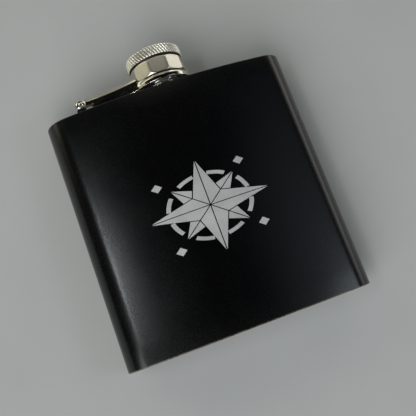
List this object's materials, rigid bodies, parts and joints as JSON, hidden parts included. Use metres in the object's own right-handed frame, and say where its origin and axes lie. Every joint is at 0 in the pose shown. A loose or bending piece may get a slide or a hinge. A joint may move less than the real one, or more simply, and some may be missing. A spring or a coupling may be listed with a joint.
{
  "type": "hip flask",
  "caption": "Flat curved metal pocket flask lying on its back, with a knurled and faceted screw cap held captive by a hinged arm, and a matte dark body with a plain ornament",
  "frame": {"origin": "centre of the bounding box's bottom face, on the surface that the flask lies on", "axes": "+X across the width, away from the hinge; +Y from the base to the cap; +Z out of the front face, up from the surface"},
  "size_m": [0.095, 0.111, 0.0248],
  "materials": {
    "black_coat": "matte black powder coat",
    "neck_steel": "turned and polished stainless steel",
    "hinge_steel": "polished stainless steel",
    "arm_steel": "pressed and polished stainless steel",
    "cap_steel": "turned, polished and knurled stainless steel",
    "liner_plastic": "moulded food-grade plastic",
    "gasket_silicone": "translucent white silicone",
    "etched_steel": "bare steel laser-etched through the coat"
  },
  "bodies": {
    "flask": {"body_wall": "black_coat", "top_plate": "black_coat", "bottom_plate": "black_coat", "neck": "neck_steel", "hinge_bracket": "hinge_steel"},
    "arm": {"hinge_arm": "arm_steel", "hinge_pin": "hinge_steel"},
    "cap": {"cap_head": "cap_steel", "cap_collar": "cap_steel", "cap_liner": "liner_plastic", "cap_gasket": "gasket_silicone", "cap_retaining_ring": "hinge_steel"}
  },
  "joints": [
    {"name": "arm_swing", "type": "hinge", "parent": "flask", "child": "arm", "pos_m": [-0.0323, 0.044, 0.0131], "axis": [0, 0, 1], "range_deg": [0, 180]},
    {"name": "cap_spin", "type": "hinge", "parent": "arm", "child": "cap", "pos_m": [0, 0.0501, 0.0131], "axis": [0, 1, 0], "continuous": true}
  ]
}
